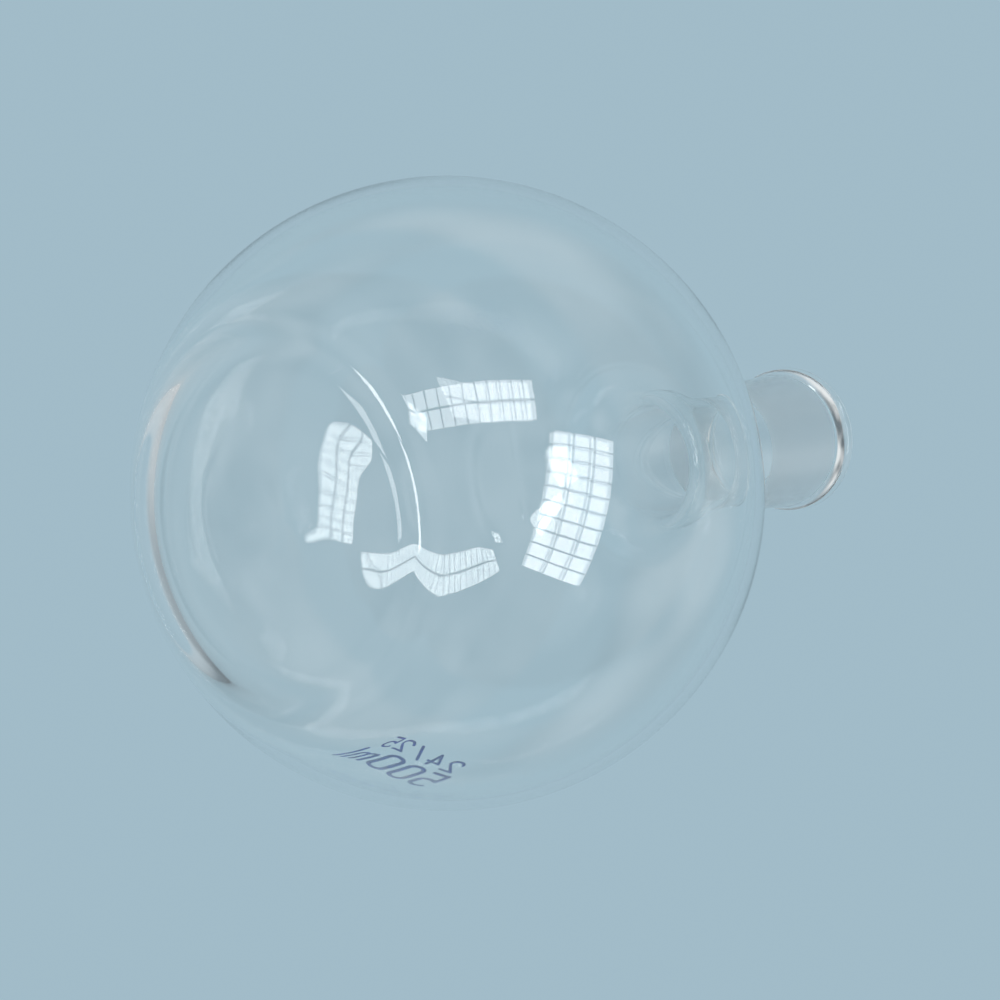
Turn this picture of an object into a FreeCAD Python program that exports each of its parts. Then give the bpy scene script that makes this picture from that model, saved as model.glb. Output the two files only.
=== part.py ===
"""Boiling flask, 500 ml, with a flat base and a 24/25 ground-glass socket.

The glass is made in two pieces that are sealed together in a flame: a mould-blown bulb with its
flat base, shoulder and neck stub, and a socket drawn from tube, with a rim bead and a ground bore.
Two lines of blue enamel are fired on the outside of the globe.

Frame: +Z runs from the base to the mouth, and the origin is the centre of the plane that the
foot stands on. The print faces -Y. Sizes are in millimetres.
"""

import FreeCAD, Part
import math
import os

# The globe and the base that it stands on.
bulb_outer_d = 105.0
bulb_wall = 1.8
foot_outer_d = 55.6  # where the flat foot turns into the heel
heel_radius = 7.0
inner_heel_radius = 24.0  # rounder than the outside, so the wall is thickest in the heel
base_wall = 2.2
kick_height = 1.0  # how far the middle of the base is pushed up
kick_share = 0.8  # the pushed-up dome's radius, as a share of the flat it sits in

# The neck stub, and the seal to the socket.
shoulder_radius = 20.0
neck_wall = 1.65
stub_length = 3.1  # straight tube above the shoulder, up to the seal

# The ground socket, size 24/25: 24 mm at the large end, 25 mm long, taper 1 in 10.
socket_bore_d = 24.0
ground_length = 25.0
ground_taper = 0.1
socket_wall = 1.5
tail_length = 18.0  # plain tube between the seal and the ground bore
relief_height = 1.0  # short cone from the plain bore to the ground bore
bead_overhang = 1.1  # how far the bead stands out from the tube under it
bead_height = 5.3
bead_round = 1.3  # rounding from the bead's widest ring over to the rim
lip_radius = 0.9  # rounding of the mouth, inside the bead

# The fired print. Letter heights are measured from the baseline.
print_thickness = 0.15
capacity_height = 9.2
capacity_width = 4.0
capacity_pen = 0.95
capacity_drop = 4.2  # baseline of the large line below the globe's widest ring
size_height = 5.2
size_width = 3.0
size_pen = 0.6
line_gap = 1.3  # clear space between the two lines
letter_gap = 0.9  # clear space between characters

# What follows from those sizes.
bulb_r = bulb_outer_d / 2
bulb_bore_r = bulb_r - bulb_wall
foot_r = foot_outer_d / 2
centre_z = heel_radius + math.sqrt((bulb_r - heel_radius) ** 2 - foot_r**2)
ground_small_r = socket_bore_d / 2 - ground_length * ground_taper / 2
tube_r = ground_small_r + socket_wall
neck_bore_r = tube_r - neck_wall
shoulder_x = tube_r + shoulder_radius
shoulder_z = centre_z + math.sqrt((bulb_r + shoulder_radius) ** 2 - shoulder_x**2)
seal_z = shoulder_z + stub_length
ground_z = seal_z + tail_length
mouth_z = ground_z + ground_length
rim_z = mouth_z + lip_radius


def point(x, z):
    return FreeCAD.Vector(x, 0, z)


def line(start, end):
    return Part.LineSegment(point(*start), point(*end)).toShape()


def arc_about(centre, radius, start, end):
    """The shorter arc about centre that leaves along the direction of start and ends at end's."""
    angles = [math.atan2(p[1] - centre[1], p[0] - centre[0]) for p in (start, end)]
    turn = math.remainder(angles[1] - angles[0], 2 * math.pi)
    middle = angles[0] + turn / 2
    via = (centre[0] + radius * math.cos(middle), centre[1] + radius * math.sin(middle))
    return Part.Arc(point(*start), point(*via), point(*end)).toShape()


def arc_through(start, via, end):
    return Part.Arc(point(*start), point(*via), point(*end)).toShape()


def turned(edges):
    """The solid of revolution about Z of the closed outline that edges make."""
    section = Part.Face(Part.Wire(edges))
    return section.revolve(FreeCAD.Vector(), FreeCAD.Vector(0, 0, 1), 360)


def along(centre, toward, distance):
    """The point at a distance from centre, on the line from it toward another point."""
    dx, dz = toward[0] - centre[0], toward[1] - centre[1]
    length = math.hypot(dx, dz)
    return (centre[0] + dx / length * distance, centre[1] + dz / length * distance)


def bulb_skin(globe_r, heel_r, floor_z, neck_r, top_z):
    """One face of the blown wall: its edges from the axis at the floor up to the neck's top.

    The heel and the shoulder are arcs tangent to the globe, and the shoulder's arc shares its
    axis with the outer one, so the inside follows the outside.
    """
    globe = (0, centre_z)
    heel_z = floor_z + heel_r
    heel_x = math.sqrt((globe_r - heel_r) ** 2 - (centre_z - heel_z) ** 2)
    heel = (heel_x, heel_z)
    fillet_r = shoulder_x - neck_r
    fillet = (shoulder_x, centre_z + math.sqrt((globe_r + fillet_r) ** 2 - shoulder_x**2))
    top_of_heel = along(globe, heel, globe_r)
    top_of_globe = along(globe, fillet, globe_r)
    top_of_fillet = (neck_r, fillet[1])
    # The pushed-up middle is a shallow dome: half its chord, from the axis, is the via point.
    kick_r = heel_x * kick_share
    dome_r = (kick_r**2 + kick_height**2) / (2 * kick_height)
    dome_x = kick_r / 2
    dome_z = floor_z + kick_height - (dome_r - math.sqrt(dome_r**2 - dome_x**2))
    return [
        arc_through((0, floor_z + kick_height), (dome_x, dome_z), (kick_r, floor_z)),
        line((kick_r, floor_z), (heel_x, floor_z)),
        arc_about(heel, heel_r, (heel_x, floor_z), top_of_heel),
        arc_about(globe, globe_r, top_of_heel, top_of_globe),
        arc_about(fillet, fillet_r, top_of_globe, top_of_fillet),
        line(top_of_fillet, (neck_r, top_z)),
    ]


def make_bulb():
    """The blown piece: flat base, globe, shoulder and the stub that the socket is sealed to."""
    outside = bulb_skin(bulb_r, heel_radius, 0, tube_r, seal_z)
    inside = bulb_skin(bulb_bore_r, inner_heel_radius, base_wall, neck_bore_r, seal_z)
    seal = line((tube_r, seal_z), (neck_bore_r, seal_z))
    axis = line((0, base_wall + kick_height), (0, kick_height))
    return turned(outside + [seal] + inside[::-1] + [axis])


def make_socket():
    """The drawn tube with its ground 1 in 10 bore, rim bead and rounded lip."""
    mouth_r = socket_bore_d / 2
    rim_inner = (mouth_r + lip_radius, rim_z)
    lip = (mouth_r + lip_radius, mouth_z)
    bead_z = rim_z - bead_height
    under_bead = (mouth_r + socket_wall - (mouth_z - bead_z) * ground_taper / 2, bead_z)
    crest = (under_bead[0] + bead_overhang, rim_z - bead_round)
    swell_z = crest[1] - bead_z
    swell_r = (bead_overhang**2 + swell_z**2) / (2 * bead_overhang)
    rim_outer = (crest[0] - bead_round, rim_z)
    edges = [
        line((tube_r, seal_z), (tube_r, ground_z)),
        line((tube_r, ground_z), under_bead),
        arc_about((crest[0] - swell_r, crest[1]), swell_r, under_bead, crest),
        arc_about((rim_outer[0], crest[1]), bead_round, crest, rim_outer),
        line(rim_outer, rim_inner),
        arc_about(lip, lip_radius, rim_inner, (mouth_r, mouth_z)),
        line((mouth_r, mouth_z), (ground_small_r, ground_z)),
        line((ground_small_r, ground_z), (neck_bore_r, ground_z - relief_height)),
        line((neck_bore_r, ground_z - relief_height), (neck_bore_r, seal_z)),
        line((neck_bore_r, seal_z), (tube_r, seal_z)),
    ]
    return turned(edges)


def polar(centre, radius, degrees):
    angle = math.radians(degrees)
    return (centre[0] + radius * math.cos(angle), centre[1] + radius * math.sin(angle))


def bar_outward(outline):
    """A closed outline in the XZ plane as a bar that reaches out along -Y, past the globe."""
    face = Part.Face(Part.Wire(outline))
    return face.extrude(FreeCAD.Vector(0, -bulb_outer_d, 0))


def pen_line(start, end, pen):
    """A straight pen stroke with round ends."""
    degrees = math.degrees(math.atan2(end[1] - start[1], end[0] - start[0]))
    corners = [polar(p, pen / 2, degrees + side) for p in (start, end) for side in (90, -90)]
    return bar_outward(
        [
            line(corners[0], corners[2]),
            arc_through(corners[2], polar(end, pen / 2, degrees), corners[3]),
            line(corners[3], corners[1]),
            arc_through(corners[1], polar(start, pen / 2, degrees + 180), corners[0]),
        ]
    )


def pen_arc(centre, radius, first, last, pen):
    """A curved pen stroke with round ends, clockwise from the first angle to the last."""
    angles = (first, (first + last) / 2, last)
    outer = [polar(centre, radius + pen / 2, a) for a in angles]
    inner = [polar(centre, radius - pen / 2, a) for a in angles]
    head = polar(polar(centre, radius, first), pen / 2, first + 90)
    tail = polar(polar(centre, radius, last), pen / 2, last - 90)
    return bar_outward(
        [
            arc_through(*outer),
            arc_through(outer[2], tail, inner[2]),
            arc_through(*inner[::-1]),
            arc_through(inner[0], head, outer[0]),
        ]
    )


def pen_ring(x, z, w, h, pen):
    """A closed ring with straight sides, w by h between pen centres, standing on z."""
    r = w / 2
    low, high = (x, z + r), (x, z + h - r)
    sides = [pen_line((x + s * r, low[1]), (x + s * r, high[1]), pen) for s in (-1, 1)]
    return sides + [pen_arc(high, r, 180, 0, pen), pen_arc(low, r, 0, -180, pen)]


def glyph(sign, x, z, w, h, pen):
    """The strokes of one character: w by h between pen centres, centred on x, standing on z."""
    left, right, top, r = x - w / 2, x + w / 2, z + h, w / 2
    if sign == "0":
        return pen_ring(x, z, w, h, pen)
    if sign == "l":
        return [pen_line((x, z), (x, top), pen)]
    if sign == "/":
        return [pen_line((left, z), (right, top), pen)]
    if sign == "2":
        bowl = (x, top - r)
        return [
            pen_arc(bowl, r, 170, -35, pen),
            pen_line(polar(bowl, r, -35), (left, z), pen),
            pen_line((left, z), (right, z), pen),
        ]
    if sign == "4":
        bar_z = z + h * 0.3
        stem_x = x + w * 0.22
        return [
            pen_line((stem_x, top), (left, bar_z), pen),
            pen_line((left, bar_z), (right, bar_z), pen),
            pen_line((stem_x, top), (stem_x, z), pen),
        ]
    if sign == "5":
        bowl = (x, z + h * 0.6 - r)
        return [
            pen_line((right, top), (left, top), pen),
            pen_line((left, top), polar(bowl, r, 155), pen),
            pen_arc(bowl, r, 155, 0, pen),
            pen_line((right, bowl[1]), (right, z + r), pen),
            pen_arc((x, z + r), r, 0, -150, pen),
        ]
    # What is left is the letter m: three stems under two arches.
    arch = w / 4
    springs = z + h * 0.68 - arch
    stems = [pen_line((side, z), (side, springs), pen) for side in (x, right)]
    stems.append(pen_line((left, z), (left, springs + arch), pen))
    return stems + [pen_arc((x + s * arch, springs), arch, 180, 0, pen) for s in (-1, 1)]


def fired_line(text, base_z, width, height, pen):
    """One line of enamel: each character is its own solid, printed flat on to the globe."""
    shares = {"l": 0.0, "m": 1.35}
    spans = [shares.get(sign, 1.0) * (width - pen) for sign in text]
    length = sum(spans) + len(text) * pen + (len(text) - 1) * letter_gap
    globe = FreeCAD.Vector(0, 0, centre_z)
    coat = Part.makeSphere(bulb_r + print_thickness, globe).cut(Part.makeSphere(bulb_r, globe))
    left = -length / 2
    solids = []
    for sign, span in zip(text, spans):
        middle = left + (span + pen) / 2
        left += span + pen + letter_gap
        strokes = glyph(sign, middle, base_z + pen / 2, span, height - pen, pen)
        whole = strokes[0].multiFuse(strokes[1:]) if len(strokes) > 1 else strokes[0]
        solids += whole.common(coat).Solids
    return Part.makeCompound(solids)


os.makedirs("parts", exist_ok=True)
capacity_z = centre_z - capacity_drop
size_z = capacity_z + capacity_height + line_gap
nodes = {
    "bulb": make_bulb(),
    "ground_socket": make_socket(),
    "capacity_print": fired_line(
        "500ml", capacity_z, capacity_width, capacity_height, capacity_pen
    ),
    "joint_size_print": fired_line("24/25", size_z, size_width, size_height, size_pen),
}
for name, shape in nodes.items():
    shape.exportStep("parts/" + name + ".step")
    print(name, len(shape.Solids), "solids", round(shape.Volume, 1), "mm3", shape.isValid())
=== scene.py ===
"""A 500 ml flat-bottomed boiling flask: the camera, the glass, the print and the studio."""

import math

import bpy
import numpy as np
from mathutils import Matrix, Vector


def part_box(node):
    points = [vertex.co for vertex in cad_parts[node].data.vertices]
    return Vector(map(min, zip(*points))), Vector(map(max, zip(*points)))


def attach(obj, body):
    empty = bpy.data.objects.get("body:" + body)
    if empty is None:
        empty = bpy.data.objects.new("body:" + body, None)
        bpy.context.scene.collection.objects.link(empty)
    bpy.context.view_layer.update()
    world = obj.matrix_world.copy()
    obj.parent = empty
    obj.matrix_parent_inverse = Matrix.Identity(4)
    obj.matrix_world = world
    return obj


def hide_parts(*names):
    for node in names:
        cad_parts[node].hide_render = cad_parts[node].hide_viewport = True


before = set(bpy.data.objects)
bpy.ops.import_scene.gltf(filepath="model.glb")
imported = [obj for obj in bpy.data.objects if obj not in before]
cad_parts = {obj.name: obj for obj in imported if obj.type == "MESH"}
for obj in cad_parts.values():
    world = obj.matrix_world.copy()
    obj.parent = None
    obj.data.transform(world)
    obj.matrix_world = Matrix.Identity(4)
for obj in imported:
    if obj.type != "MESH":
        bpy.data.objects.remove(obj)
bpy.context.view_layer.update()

MM = 0.001
globe_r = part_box("bulb")[1][0]
foot_plane_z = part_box("bulb")[0][2]
seal_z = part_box("ground_socket")[0][2]
rim_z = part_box("ground_socket")[1][2]

# ---------------------------------------------------------------------------------------------
# Camera: a long lens that looks up past the base and along the neck, with the flask's axis
# nearly level in the picture, as when the flask lies on its side on a bench.
# ---------------------------------------------------------------------------------------------
globe_z = 43.02 * MM  # height of the globe's centre above the foot
globe_centre = Vector((0, 0, globe_z))
camera_azimuth = math.radians(243.3)
camera_elevation = math.radians(-51.2)
camera_distance = 420 * MM
mouth_rises = math.radians(9.5)  # how far the axis climbs above level, toward the mouth
lens_mm = 90.9
aim_right = 8.65 * MM
aim_up = -1.0 * MM


def camera_axes(back):
    """Right and up of a camera that looks along -back, turned so that the +Z axis of the flask
    points right in the picture and mouth_rises above level."""
    mouthward = (Vector((0, 0, 1)) - Vector((0, 0, 1)).project(back)).normalized()
    across = back.cross(mouthward)
    right = mouthward * math.cos(mouth_rises) - across * math.sin(mouth_rises)
    return right, back.cross(right)


back = Vector(
    (
        math.sin(camera_azimuth) * math.cos(camera_elevation),
        -math.cos(camera_azimuth) * math.cos(camera_elevation),
        math.sin(camera_elevation),
    )
)
camera_right, camera_up = camera_axes(back)
camera_at = globe_centre + back * camera_distance
aim_back = (camera_at - globe_centre - camera_right * aim_right - camera_up * aim_up).normalized()
right, up = camera_axes(aim_back)
camera_data = bpy.data.cameras.new("camera")
camera_data.lens = lens_mm
camera_data.clip_start = 0.01
camera = bpy.data.objects.new("camera", camera_data)
bpy.context.collection.objects.link(camera)
turn = Matrix((right, up, aim_back)).transposed()
camera.matrix_world = Matrix.Translation(camera_at) @ turn.to_4x4()
bpy.context.scene.camera = camera

# ---------------------------------------------------------------------------------------------
# Bulb: one piece of borosilicate glass, blown in a turning mould. The base is flattened while
# the glass is soft, which leaves it pushed up in the middle with faint swirls in the floor.
# ---------------------------------------------------------------------------------------------
bulb_wall = 1.8 * MM
heel_r = 7.0 * MM
inner_heel_r = 21.0 * MM  # rounder than the outside, so the wall is thickest in the heel
foot_r = 27.8 * MM
floor_wall = 2.2 * MM
kick_height = 1.0 * MM
kick_share = 0.8  # the pushed-up dome's radius, as a share of the flat it sits in
shoulder_r = 20.0 * MM
tube_r = 12.25 * MM
neck_bore_r = 10.6 * MM
segments = 192
sharp_edge = math.radians(40)


def arc(centre, radius, first, last, count):
    """Points on the circle about centre, from the first angle to the last, in radians."""
    a = np.linspace(first, last, count)
    return np.stack([centre[0] + radius * np.cos(a), centre[1] + radius * np.sin(a)], 1)


def straight(start, end, count):
    """Evenly spaced points from start to end."""
    return np.linspace(start, end, count)


def joined(*pieces):
    """The pieces of an outline end to end, each without the point that it shares with the last."""
    return np.concatenate([pieces[0]] + [piece[1:] for piece in pieces[1:]])


def bulb_skin(sphere_r, heel, floor_z, neck_r):
    """One skin of the blown wall, from the axis at the floor to the top of the neck stub.

    The floor's middle rises by kick * (1 - s^2)^2, which meets the flat foot without a crease,
    and the heel and the shoulder are arcs tangent to the sphere."""
    s = np.linspace(0, 1, 25)
    heel_z = floor_z + heel
    heel_x = math.sqrt((sphere_r - heel) ** 2 - (globe_z - heel_z) ** 2)
    kick_r = heel_x * kick_share
    kick = np.stack([kick_r * s, floor_z + kick_height * (1 - s**2) ** 2], 1)
    down = math.atan2(heel_z - globe_z, heel_x)
    fillet_r = tube_r + shoulder_r - neck_r
    fillet_x = tube_r + shoulder_r
    fillet_z = globe_z + math.sqrt((sphere_r + fillet_r) ** 2 - fillet_x**2)
    lift = math.atan2(fillet_z - globe_z, fillet_x)
    return joined(
        kick,
        straight((kick_r, floor_z), (heel_x, floor_z), 6),
        arc((heel_x, heel_z), heel, -math.pi / 2, down, 20),
        arc((0, globe_z), sphere_r, down, lift, 90),
        arc((fillet_x, fillet_z), fillet_r, lift + math.pi, math.pi, 20),
        straight((neck_r, fillet_z), (neck_r, seal_z), 8),
    )


def swell(points, turns, amount, seed):
    """Slow waves of a hand-turned wall: a sum of sines in angle and height, each with its own
    phase, that fade out at the axis and at the seal. amount is the height of the largest."""
    rng = np.random.default_rng(seed)
    x, z = points[:, :1], points[:, 1:]
    wave = np.zeros((len(points), len(turns)))
    for around in (1, 2, 3, 5):
        for along in (18, 34, 70):
            phase = rng.uniform(0, 2 * math.pi, 2)
            wave += np.sin(around * turns + phase[0] + along * (z + x)) / (around + along / 18)
    fade = np.clip(x / (8 * MM), 0, 1) * np.clip((seal_z - z) / (12 * MM), 0, 1)
    return amount * fade * wave


def floor_swirl(points, turns, amount):
    """Shallow spiral ridges in the floor: sines whose angle winds as they go outward."""
    x = points[:, :1]
    inside = np.clip(1 - (x / foot_r) ** 4, 0, 1) * np.clip(x / (5 * MM), 0, 1)
    inside = inside * (points[:, 1:] < 6 * MM)
    wind = x / (4.5 * MM)
    ridges = np.sin(3 * turns + wind) + 0.5 * np.sin(5 * turns - 1.7 * wind + 1)
    return amount * inside * ridges


def outline_normals(points):
    """Unit normals of an outline, to the right of the way it runs."""
    ahead = np.gradient(points, axis=0)
    normal = np.stack([ahead[:, 1], -ahead[:, 0]], 1)
    return normal / np.linalg.norm(normal, axis=1, keepdims=True)


def turned_mesh(name, points, lift, closed):
    """Turns an outline about Z, one ring of vertices for each of its points.

    lift moves each vertex along the outline's normal. An open outline starts and ends on the
    axis, where each end is one vertex with a fan; a closed one joins its last ring to its first."""
    turns = np.linspace(0, 2 * math.pi, segments, endpoint=False)
    moved = points[:, None] + outline_normals(points)[:, None] * lift[..., None]
    rings = moved if closed else moved[1:-1]
    x, z = rings[..., 0], rings[..., 1]
    verts = np.stack([x * np.cos(turns), x * np.sin(turns), z], -1).reshape(-1, 3)
    count = len(rings)
    low = np.arange(count if closed else count - 1)[:, None] * segments
    high = (low + segments) % (count * segments)
    this = np.arange(segments)
    after = (this + 1) % segments
    quads = np.stack([low + this, low + after, high + after, high + this], -1).reshape(-1, 4)
    faces = quads.tolist()
    if not closed:
        poles = moved[[0, -1], 0]
        verts = np.concatenate([verts, [[0, 0, poles[0, 1]], [0, 0, poles[1, 1]]]])
        first, last = len(verts) - 2, len(verts) - 1
        top = (count - 1) * segments
        faces += np.stack([np.full(segments, first), after, this], -1).tolist()
        faces += np.stack([np.full(segments, last), top + this, top + after], -1).tolist()
    mesh = bpy.data.meshes.new(name)
    mesh.from_pydata(verts.tolist(), [], faces)
    mesh.shade_smooth()
    mesh.set_sharp_from_angle(angle=sharp_edge)
    obj = bpy.data.objects.new(name, mesh)
    bpy.context.collection.objects.link(obj)
    return obj


def paint_faces(obj, slot, chosen):
    """Gives slot to the faces whose centres chosen(r, z) picks, r being the distance to Z."""
    centres = np.empty(len(obj.data.polygons) * 3)
    obj.data.polygons.foreach_get("center", centres)
    centres = centres.reshape(-1, 3)
    picked = chosen(np.hypot(centres[:, 0], centres[:, 1]), centres[:, 2])
    slots = np.zeros(len(centres), dtype=np.int32)
    obj.data.polygons.foreach_get("material_index", slots)
    slots[picked] = slot
    obj.data.polygons.foreach_set("material_index", slots)


def lamp_window(nodes, links, glass, tint):
    """Lets lamps through glass without bending their light, darker where it is seen edge on."""
    path = nodes.new("ShaderNodeLightPath")
    edge = nodes.new("ShaderNodeLayerWeight")
    edge.inputs["Blend"].default_value = 0.35
    shade = nodes.new("ShaderNodeValToRGB")
    shade.color_ramp.elements[0].color = (*[tint] * 3, 1)
    shade.color_ramp.elements[1].color = (*[tint * 0.45] * 3, 1)
    clear = nodes.new("ShaderNodeBsdfTransparent")
    mix = nodes.new("ShaderNodeMixShader")
    links.new(edge.outputs["Facing"], shade.inputs["Fac"])
    links.new(shade.outputs["Color"], clear.inputs["Color"])
    links.new(path.outputs["Is Shadow Ray"], mix.inputs["Fac"])
    links.new(glass.outputs["BSDF"], mix.inputs[1])
    links.new(clear.outputs["BSDF"], mix.inputs[2])
    return mix


def clear_glass():
    """Clear borosilicate: colourless but for a trace of green, with the long soft ripples of
    blown glass and faint wiped haze in its roughness."""
    material = bpy.data.materials.new("clear_glass")
    material.use_nodes = True
    nodes, links = material.node_tree.nodes, material.node_tree.links
    glass = nodes["Principled BSDF"]
    glass.inputs["Base Color"].default_value = (0.985, 0.995, 0.993, 1)
    glass.inputs["Transmission Weight"].default_value = 1.0
    glass.inputs["IOR"].default_value = 1.473
    place = nodes.new("ShaderNodeTexCoord")
    ripple = nodes.new("ShaderNodeTexNoise")
    ripple.inputs["Scale"].default_value = 38.0
    ripple.inputs["Detail"].default_value = 1.0
    bump = nodes.new("ShaderNodeBump")
    bump.inputs["Strength"].default_value = 0.25
    bump.inputs["Distance"].default_value = 0.12 * MM
    haze = nodes.new("ShaderNodeTexNoise")
    haze.inputs["Scale"].default_value = 24.0
    haze.inputs["Detail"].default_value = 4.0
    level = nodes.new("ShaderNodeMapRange")
    level.inputs["From Min"].default_value = 0.45
    level.inputs["From Max"].default_value = 0.8
    level.inputs["To Min"].default_value = 0.0
    level.inputs["To Max"].default_value = 0.06
    links.new(place.outputs["Object"], ripple.inputs["Vector"])
    links.new(place.outputs["Object"], haze.inputs["Vector"])
    links.new(ripple.outputs["Fac"], bump.inputs["Height"])
    links.new(bump.outputs["Normal"], glass.inputs["Normal"])
    links.new(haze.outputs["Fac"], level.inputs["Value"])
    links.new(level.outputs["Result"], glass.inputs["Roughness"])
    mix = lamp_window(nodes, links, glass, 0.97)
    links.new(mix.outputs["Shader"], nodes["Material Output"].inputs["Surface"])
    return material


def seal_face():
    """The plane where the two glasses are melted into one: light crosses it unbent."""
    material = bpy.data.materials.new("seal_face")
    material.use_nodes = True
    nodes, links = material.node_tree.nodes, material.node_tree.links
    nodes.remove(nodes["Principled BSDF"])
    clear = nodes.new("ShaderNodeBsdfTransparent")
    links.new(clear.outputs["BSDF"], nodes["Material Output"].inputs["Surface"])
    return material


outer_skin = bulb_skin(globe_r, heel_r, foot_plane_z, tube_r)
inner_skin = bulb_skin(globe_r - bulb_wall, inner_heel_r, floor_wall, neck_bore_r)
turns = np.linspace(0, 2 * math.pi, segments, endpoint=False)
outer_wave = 0.01 * MM
outer_inset = 0.02 * MM  # the skin is drawn this far inside, to leave its waves room under the print
inner_wave = 0.09 * MM
swirl_height = 0.045 * MM
true_stub = 1 * MM  # the last of the stub, left true so that it meets the socket
outer_lift = swell(outer_skin, turns, outer_wave, 3) - outer_inset
outer_lift[outer_skin[:, 1] > seal_z - true_stub] = 0
inner_lift = swell(inner_skin, turns, inner_wave, 8)
inner_lift += floor_swirl(inner_skin, turns, swirl_height)
bulb_outline = np.concatenate([outer_skin, inner_skin[::-1]])
bulb = turned_mesh(
    "bulb_glass", bulb_outline, np.concatenate([outer_lift, inner_lift[::-1]]), closed=False
)
glass_material = clear_glass()
seal_material = seal_face()
bulb.data.materials.append(glass_material)
bulb.data.materials.append(seal_material)
paint_faces(bulb, 1, lambda r, z: z > seal_z - 0.01 * MM)
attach(bulb, "root")
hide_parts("bulb")

# ---------------------------------------------------------------------------------------------
# Ground socket: a tube drawn to size, with its end upset into a bead and fire polished. The
# bore is ground with grit to a 1 in 10 taper, which frosts it, and the tail is sealed on.
# ---------------------------------------------------------------------------------------------
socket_wall = 1.5 * MM
mouth_r = 12.0 * MM
ground_length = 25.0 * MM
ground_slope = 0.05
relief_height = 1.0 * MM
bead_height = 5.3 * MM
bead_overhang = 1.1 * MM
bead_round = 1.3 * MM
lip_r = 0.9 * MM
polished_end = bead_height - 0.4 * MM  # the bore inside the bead is clear again

mouth_z = rim_z - lip_r
ground_z = mouth_z - ground_length
ground_r = mouth_r - ground_length * ground_slope
bead_z = rim_z - bead_height
under_bead_r = mouth_r + socket_wall - (mouth_z - bead_z) * ground_slope
crest_r = under_bead_r + bead_overhang
crest_z = rim_z - bead_round
flank_r = (bead_overhang**2 + (crest_z - bead_z) ** 2) / (2 * bead_overhang)
flank_turn = math.asin((crest_z - bead_z) / flank_r)
socket_outline = joined(
    straight((neck_bore_r, seal_z), (tube_r, seal_z), 5),
    straight((tube_r, seal_z), (tube_r, ground_z), 10),
    straight((tube_r, ground_z), (under_bead_r, bead_z), 20),
    arc((crest_r - flank_r, crest_z), flank_r, -flank_turn, 0, 18),
    arc((crest_r - bead_round, crest_z), bead_round, 0, math.pi / 2, 12),
    straight((crest_r - bead_round, rim_z), (mouth_r + lip_r, rim_z), 3),
    arc((mouth_r + lip_r, mouth_z), lip_r, math.pi / 2, math.pi, 9),
    straight((mouth_r, mouth_z), (ground_r, ground_z), 40),
    straight((ground_r, ground_z), (neck_bore_r, ground_z - relief_height), 4),
    straight((neck_bore_r, ground_z - relief_height), (neck_bore_r, seal_z), 12),
)[:-1]


def ground_glass():
    """Glass ground with fine grit: every ray is scattered, and fine rings of tool marks run
    round the bore."""
    material = bpy.data.materials.new("ground_glass")
    material.use_nodes = True
    nodes, links = material.node_tree.nodes, material.node_tree.links
    glass = nodes["Principled BSDF"]
    glass.inputs["Base Color"].default_value = (0.78, 0.82, 0.83, 1)
    glass.inputs["Transmission Weight"].default_value = 0.96
    glass.inputs["IOR"].default_value = 1.473
    place = nodes.new("ShaderNodeTexCoord")
    stretch = nodes.new("ShaderNodeMapping")
    stretch.inputs["Scale"].default_value = (1, 1, 12)
    grit = nodes.new("ShaderNodeTexNoise")
    grit.inputs["Scale"].default_value = 300.0
    grit.inputs["Detail"].default_value = 3.0
    level = nodes.new("ShaderNodeMapRange")
    level.inputs["To Min"].default_value = 0.3
    level.inputs["To Max"].default_value = 0.55
    bump = nodes.new("ShaderNodeBump")
    bump.inputs["Strength"].default_value = 0.3
    bump.inputs["Distance"].default_value = 0.05 * MM
    links.new(place.outputs["Object"], stretch.inputs["Vector"])
    links.new(stretch.outputs["Vector"], grit.inputs["Vector"])
    links.new(grit.outputs["Fac"], level.inputs["Value"])
    links.new(level.outputs["Result"], glass.inputs["Roughness"])
    links.new(grit.outputs["Fac"], bump.inputs["Height"])
    links.new(bump.outputs["Normal"], glass.inputs["Normal"])
    mix = lamp_window(nodes, links, glass, 0.85)
    links.new(mix.outputs["Shader"], nodes["Material Output"].inputs["Surface"])
    return material


socket = turned_mesh(
    "ground_socket_glass", socket_outline, np.zeros((len(socket_outline), segments)), closed=True
)
socket.data.materials.append(glass_material)
socket.data.materials.append(ground_glass())
socket.data.materials.append(seal_material)
paint_faces(
    socket,
    1,
    lambda r, z: (r < mouth_r + 0.01 * MM) & (z > ground_z - relief_height) & (z < rim_z - polished_end)
    & (r < ground_r + (z - ground_z) * ground_slope + 0.1 * MM),
)
paint_faces(socket, 2, lambda r, z: z < seal_z + 0.01 * MM)
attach(socket, "root")
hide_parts("ground_socket")

# ---------------------------------------------------------------------------------------------
# Capacity print: blue glass enamel screened on to the globe and fired until it melts on. Each
# character is drawn with a pen of one width, and the enamel stands a hair above the glass.
# ---------------------------------------------------------------------------------------------
enamel_height = 0.12 * MM
enamel_gap = 0.01 * MM
character_gap = 0.9 * MM
capacity_pen = 0.95 * MM
capacity_width = 4.0 * MM
capacity_height = 9.2 * MM
capacity_z = globe_z - 4.2 * MM


def polar(centre, radius, degrees):
    angle = math.radians(degrees)
    return (centre[0] + radius * math.cos(angle), centre[1] + radius * math.sin(angle))


def curve(centre, radius, first, last):
    """A pen path round part of a circle, with angles in degrees."""
    count = max(7, int(abs(last - first) / 6))
    return arc(centre, radius, math.radians(first), math.radians(last), count)


def ring(x, z, w, h):
    """A closed pen path: two half circles with straight sides, w by h, standing on z."""
    r = w / 2
    return joined(
        curve((x, z + h - r), r, 180, 0),
        straight((x + r, z + h - r), (x + r, z + r), 6),
        curve((x, z + r), r, 0, -180),
        straight((x - r, z + r), (x - r, z + h - r), 6),
    )


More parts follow.
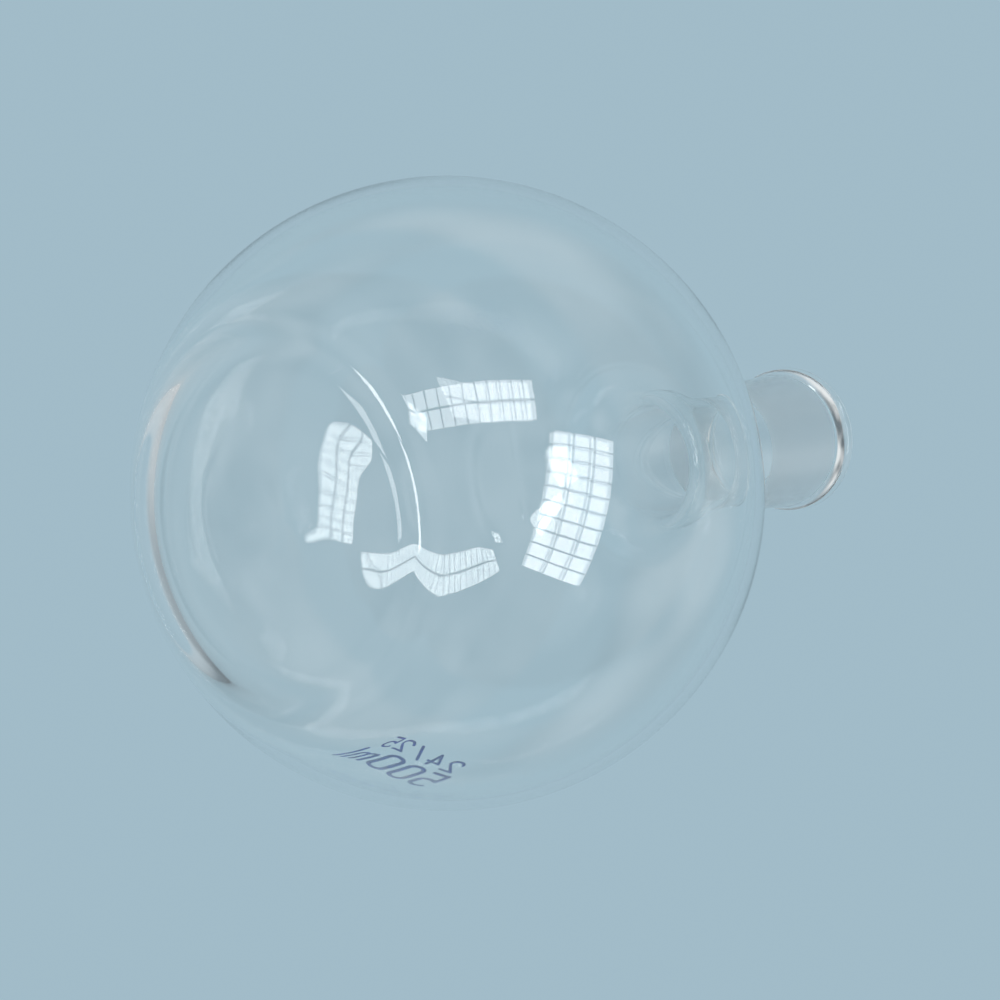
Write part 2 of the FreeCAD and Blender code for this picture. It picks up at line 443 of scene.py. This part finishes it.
def character(sign, x, z, w, h):
    """The pen paths of one character, w by h between pen centres, centred on x, standing on z."""
    left, right, top, r = x - w / 2, x + w / 2, z + h, w / 2
    if sign == "0":
        return [ring(x, z, w, h)]
    if sign == "l":
        return [straight((x, z), (x, top), 16)]
    if sign == "/":
        return [straight((left, z), (right, top), 12)]
    if sign == "2":
        crown = curve((x, top - r), r, 170, -35)
        return [joined(crown, straight(crown[-1], (left, z), 8)), straight((left, z), (right, z), 6)]
    if sign == "4":
        stem = x + w * 0.22
        bar = z + h * 0.3
        return [
            straight((stem, top), (left, bar), 8),
            straight((left, bar), (right, bar), 6),
            straight((stem, top), (stem, z), 10),
        ]
    if sign == "5":
        bowl = (x, z + h * 0.6 - r)
        body = joined(
            straight((left, top), polar(bowl, r, 155), 6),
            curve(bowl, r, 155, 0),
            straight((right, bowl[1]), (right, z + r), 4),
            curve((x, z + r), r, 0, -150),
        )
        return [straight((right, top), (left, top), 6), body]
    arch = w / 4
    spring = z + h * 0.68 - arch
    stem = straight((left, z), (left, spring + arch), 10)
    hump = joined(curve((x - arch, spring), arch, 180, 0), straight((x, spring), (x, z), 8))
    return [stem, hump, hump + (2 * arch, 0)]


def pen_stroke(path, pen):
    """Vertices and faces of one stroke of enamel laid on the globe.

    The first parameter runs along the path and past its ends by half a pen, where the width
    shrinks as a half circle; the second runs round a low rounded section. Each point (x, z) is
    carried along -Y to the globe and stands above it by its height in the section."""
    ahead = np.gradient(path, axis=0)
    ahead /= np.linalg.norm(ahead, axis=1, keepdims=True)
    closed = np.allclose(path[0], path[-1])
    half = pen / 2
    if closed:
        ahead[0] = ahead[-1] = (ahead[0] + ahead[-1]) / np.linalg.norm(ahead[0] + ahead[-1])
        middle, way, width = path[:-1], ahead[:-1], np.full(len(path) - 1, half)
    else:
        cap = np.radians([0, 15, 32, 50, 70])
        start = path[0] - ahead[0] * half * np.cos(cap)[:, None]
        end = path[-1] + ahead[-1] * half * np.cos(cap[::-1])[:, None]
        middle = np.concatenate([start, path, end])
        way = np.concatenate([np.repeat(ahead[:1], 5, 0), ahead, np.repeat(ahead[-1:], 5, 0)])
        narrow = np.maximum(np.sin(cap), 0.02)
        width = half * np.concatenate([narrow, np.ones(len(path)), narrow[::-1]])
    side = np.stack([way[:, 1], -way[:, 0]], 1)
    section = np.array([(-1, 0), (-1, 0.5), (-0.8, 0.95), (0, 1), (0.8, 0.95), (1, 0.5), (1, 0), (0, 0)])
    flat = middle[:, None] + side[:, None] * (width[:, None] * section[:, 0])[..., None]
    rise = enamel_gap + enamel_height * section[:, 1] + np.zeros(flat.shape[:2])
    x, z = flat[..., 0], flat[..., 1] - globe_z
    y = -np.sqrt((globe_r + rise) ** 2 - x**2 - z**2)
    verts = np.stack([x, y, z + globe_z], -1).reshape(-1, 3)
    across, count = len(section), len(middle)
    low = np.arange(count if closed else count - 1)[:, None] * across
    high = (low + across) % (count * across)
    this = np.arange(across)
    after = (this + 1) % across
    faces = np.stack([low + this, low + after, high + after, high + this], -1).reshape(-1, 4).tolist()
    if not closed:
        faces += [list(range(across))[::-1], list(range((count - 1) * across, count * across))]
    return verts, faces


def fired_line(name, text, base_z, width, height, pen):
    """One line of print as a mesh, centred on the front of the globe."""
    shares = {"l": 0.0, "m": 1.35}
    spans = [shares.get(sign, 1.0) * (width - pen) for sign in text]
    left = -(sum(spans) + len(text) * pen + (len(text) - 1) * character_gap) / 2
    verts, faces = [], []
    for sign, span in zip(text, spans):
        middle = left + (span + pen) / 2
        left += span + pen + character_gap
        for path in character(sign, middle, base_z + pen / 2, span, height - pen):
            more, cells = pen_stroke(path, pen)
            start = sum(len(v) for v in verts)
            verts.append(more)
            faces += [[start + i for i in cell] for cell in cells]
    mesh = bpy.data.meshes.new(name)
    mesh.from_pydata(np.concatenate(verts).tolist(), [], faces)
    mesh.shade_smooth()
    obj = bpy.data.objects.new(name, mesh)
    bpy.context.collection.objects.link(obj)
    return obj


def blue_enamel():
    """Deep blue fired enamel, glossy, with the thin and thick patches that a screen leaves."""
    material = bpy.data.materials.new("blue_enamel")
    material.use_nodes = True
    nodes, links = material.node_tree.nodes, material.node_tree.links
    paint = nodes["Principled BSDF"]
    paint.inputs["Roughness"].default_value = 0.3
    place = nodes.new("ShaderNodeTexCoord")
    patches = nodes.new("ShaderNodeTexNoise")
    patches.inputs["Scale"].default_value = 700.0
    patches.inputs["Detail"].default_value = 3.0
    colour = nodes.new("ShaderNodeValToRGB")
    colour.color_ramp.elements[0].position = 0.3
    colour.color_ramp.elements[0].color = (0.002, 0.016, 0.14, 1)
    colour.color_ramp.elements[1].position = 0.75
    colour.color_ramp.elements[1].color = (0.005, 0.040, 0.28, 1)
    bump = nodes.new("ShaderNodeBump")
    bump.inputs["Strength"].default_value = 0.3
    bump.inputs["Distance"].default_value = 0.03 * MM
    links.new(place.outputs["Object"], patches.inputs["Vector"])
    links.new(patches.outputs["Fac"], colour.inputs["Fac"])
    links.new(colour.outputs["Color"], paint.inputs["Base Color"])
    links.new(patches.outputs["Fac"], bump.inputs["Height"])
    links.new(bump.outputs["Normal"], paint.inputs["Normal"])
    return material


enamel = blue_enamel()
capacity = fired_line(
    "capacity_enamel", "500ml", capacity_z, capacity_width, capacity_height, capacity_pen
)
capacity.data.materials.append(enamel)
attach(capacity, "root")
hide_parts("capacity_print")

# ---------------------------------------------------------------------------------------------
# Joint size print: a smaller line of the same enamel above the capacity, from the same screen.
# It gives the size of the ground socket.
# ---------------------------------------------------------------------------------------------
line_gap = 1.3 * MM
size_pen = 0.6 * MM
size_width = 3.0 * MM
size_height = 5.2 * MM

joint_size = fired_line(
    "joint_size_enamel",
    "24/25",
    capacity_z + capacity_height + line_gap,
    size_width,
    size_height,
    size_pen,
)
joint_size.data.materials.append(enamel)
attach(joint_size, "root")
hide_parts("joint_size_print")

# ---------------------------------------------------------------------------------------------
# Studio: a pale floor that is seen only from above, a pale sky, and soft window-like lamps on
# the camera's side that light only the flask and give the paned white reflections.
# ---------------------------------------------------------------------------------------------
floor_size = 6.0
pale = (0.36, 0.50, 0.58)


def pale_floor():
    """Pale matt paper that is there only from above and only to a line of sight that no glass has
    mirrored, so that the underside of the flask is seen and reflects the lamps under the floor."""
    material = bpy.data.materials.new("pale_floor")
    material.use_nodes = True
    nodes, links = material.node_tree.nodes, material.node_tree.links
    paper = nodes["Principled BSDF"]
    paper.inputs["Base Color"].default_value = (*pale, 1)
    paper.inputs["Roughness"].default_value = 0.9
    side = nodes.new("ShaderNodeNewGeometry")
    path = nodes.new("ShaderNodeLightPath")
    either = nodes.new("ShaderNodeMath")
    either.operation = "ADD"
    either.use_clamp = True
    clear = nodes.new("ShaderNodeBsdfTransparent")
    mix = nodes.new("ShaderNodeMixShader")
    links.new(side.outputs["Backfacing"], either.inputs[0])
    links.new(path.outputs["Glossy Depth"], either.inputs[1])
    links.new(either.outputs["Value"], mix.inputs["Fac"])
    links.new(paper.outputs["BSDF"], mix.inputs[1])
    links.new(clear.outputs["BSDF"], mix.inputs[2])
    links.new(mix.outputs["Shader"], nodes["Material Output"].inputs["Surface"])
    return material


floor_mesh = bpy.data.meshes.new("floor")
corner = floor_size / 2
floor_mesh.from_pydata(
    [(-corner, -corner, 0), (corner, -corner, 0), (corner, corner, 0), (-corner, corner, 0)],
    [],
    [(0, 1, 2, 3)],
)
floor = bpy.data.objects.new("floor", floor_mesh)
bpy.context.collection.objects.link(floor)
floor.data.materials.append(pale_floor())
floor.visible_shadow = False


lamp_lit = bpy.data.collections.new("lamp_lit")
for piece in (bulb, socket, capacity, joint_size):
    lamp_lit.objects.link(piece)


window_distance = 0.8
frame_share = 0.88  # of a pane's pitch that is glass, the rest being the window's bars


def window(name, toward, size, panes, lean, radiance):
    """A window of soft lamps, one for each pane, that faces the globe. toward is the direction
    from the globe in camera axes: right, up, to the camera. lean turns it in its own plane. Its
    panes light only the flask, so that they leave no glare on the floor beside them."""
    way = (camera_right * toward[0] + camera_up * toward[1] + back * toward[2]).normalized()
    level = camera_up.cross(way).normalized()
    level = Matrix.Rotation(lean, 3, way) @ level
    rise = way.cross(level)
    facing = Matrix((level, rise, way)).transposed().to_4x4()
    columns, rows = panes
    pitch = (size[0] / columns, size[1] / rows)
    for column in range(columns):
        for row in range(rows):
            data = bpy.data.lights.new(name, "AREA")
            data.shape = "RECTANGLE"
            data.size = pitch[0] * frame_share
            data.size_y = pitch[1] * frame_share
            data.energy = radiance * math.pi * data.size * data.size_y
            pane = bpy.data.objects.new(name, data)
            bpy.context.collection.objects.link(pane)
            shift = level * (column - (columns - 1) / 2) * pitch[0]
            shift += rise * (row - (rows - 1) / 2) * pitch[1]
            place = Matrix.Translation(globe_centre + way * window_distance + shift)
            pane.matrix_world = place @ facing
            pane.visible_camera = False
            pane.light_linking.receiver_collection = lamp_lit


window("window_above", (0.09, 0.50, 0.86), (0.68, 0.21), (12, 2), math.radians(8), 7)
window("window_right", (0.69, -0.07, 0.72), (0.34, 0.68), (3, 10), math.radians(-12), 7)
window("window_left", (-0.88, -0.05, 0.47), (0.10, 0.30), (1, 2), 0, 12)

sun = bpy.data.lights.new("overhead", "SUN")
sun.energy = 1.6
sun.angle = math.radians(40)
overhead = bpy.data.objects.new("overhead", sun)
bpy.context.collection.objects.link(overhead)
overhead.rotation_euler = (math.radians(22), math.radians(18), 0)
overhead.visible_glossy = False
overhead.visible_transmission = False


room_dim = (0.14, 0.17, 0.19)
room_bright = (0.80, 0.83, 0.84)
backdrop_edge = (math.radians(50), math.radians(70))  # where it starts to fade, and where it ends


def studio_sky():
    """A pale grey room with brighter and dimmer patches, a wide plain backdrop behind the flask,
    and a plain band round the horizon that the floor runs into."""
    world = bpy.data.worlds.new("studio")
    world.use_nodes = True
    nodes, links = world.node_tree.nodes, world.node_tree.links
    place = nodes.new("ShaderNodeTexCoord")
    toward = nodes.new("ShaderNodeVectorMath")
    toward.operation = "DOT_PRODUCT"
    toward.inputs[1].default_value = -back
    disc = nodes.new("ShaderNodeMapRange")
    disc.inputs["From Min"].default_value = math.cos(backdrop_edge[1])
    disc.inputs["From Max"].default_value = math.cos(backdrop_edge[0])
    parts = nodes.new("ShaderNodeSeparateXYZ")
    above = nodes.new("ShaderNodeMapRange")
    above.inputs["From Min"].default_value = -0.13
    above.inputs["From Max"].default_value = -0.09
    under = nodes.new("ShaderNodeMapRange")
    under.inputs["From Min"].default_value = 0.32
    under.inputs["From Max"].default_value = 0.22
    band = nodes.new("ShaderNodeMath")
    band.operation = "MULTIPLY"
    either = nodes.new("ShaderNodeMath")
    either.operation = "MAXIMUM"
    patches = nodes.new("ShaderNodeTexNoise")
    patches.inputs["Scale"].default_value = 1.6
    patches.inputs["Detail"].default_value = 1.5
    room = nodes.new("ShaderNodeValToRGB")
    room.color_ramp.elements[0].position = 0.38
    room.color_ramp.elements[0].color = (*room_dim, 1)
    room.color_ramp.elements[1].position = 0.62
    room.color_ramp.elements[1].color = (*room_bright, 1)
    mix = nodes.new("ShaderNodeMix")
    mix.data_type = "RGBA"
    factor, room_colour, plain_colour = mix.inputs["Factor"], mix.inputs[6], mix.inputs[7]
    plain_colour.default_value = (*pale, 1)
    links.new(place.outputs["Generated"], patches.inputs["Vector"])
    links.new(patches.outputs["Fac"], room.inputs["Fac"])
    links.new(room.outputs["Color"], room_colour)
    links.new(place.outputs["Generated"], toward.inputs[0])
    links.new(place.outputs["Generated"], parts.inputs[0])
    links.new(toward.outputs["Value"], disc.inputs["Value"])
    links.new(parts.outputs["Z"], above.inputs["Value"])
    links.new(parts.outputs["Z"], under.inputs["Value"])
    links.new(above.outputs["Result"], band.inputs[0])
    links.new(under.outputs["Result"], band.inputs[1])
    links.new(disc.outputs["Result"], either.inputs[0])
    links.new(band.outputs["Value"], either.inputs[1])
    links.new(either.outputs["Value"], factor)
    links.new(mix.outputs[2], nodes["Background"].inputs["Color"])
    return world


bpy.context.scene.world = studio_sky()

view = bpy.context.scene
view.view_settings.view_transform = "Standard"
view.cycles.max_bounces = 24
view.cycles.transmission_bounces = 24
view.cycles.transparent_max_bounces = 16
view.cycles.glossy_bounces = 6
view.cycles.sample_clamp_indirect = 6.0
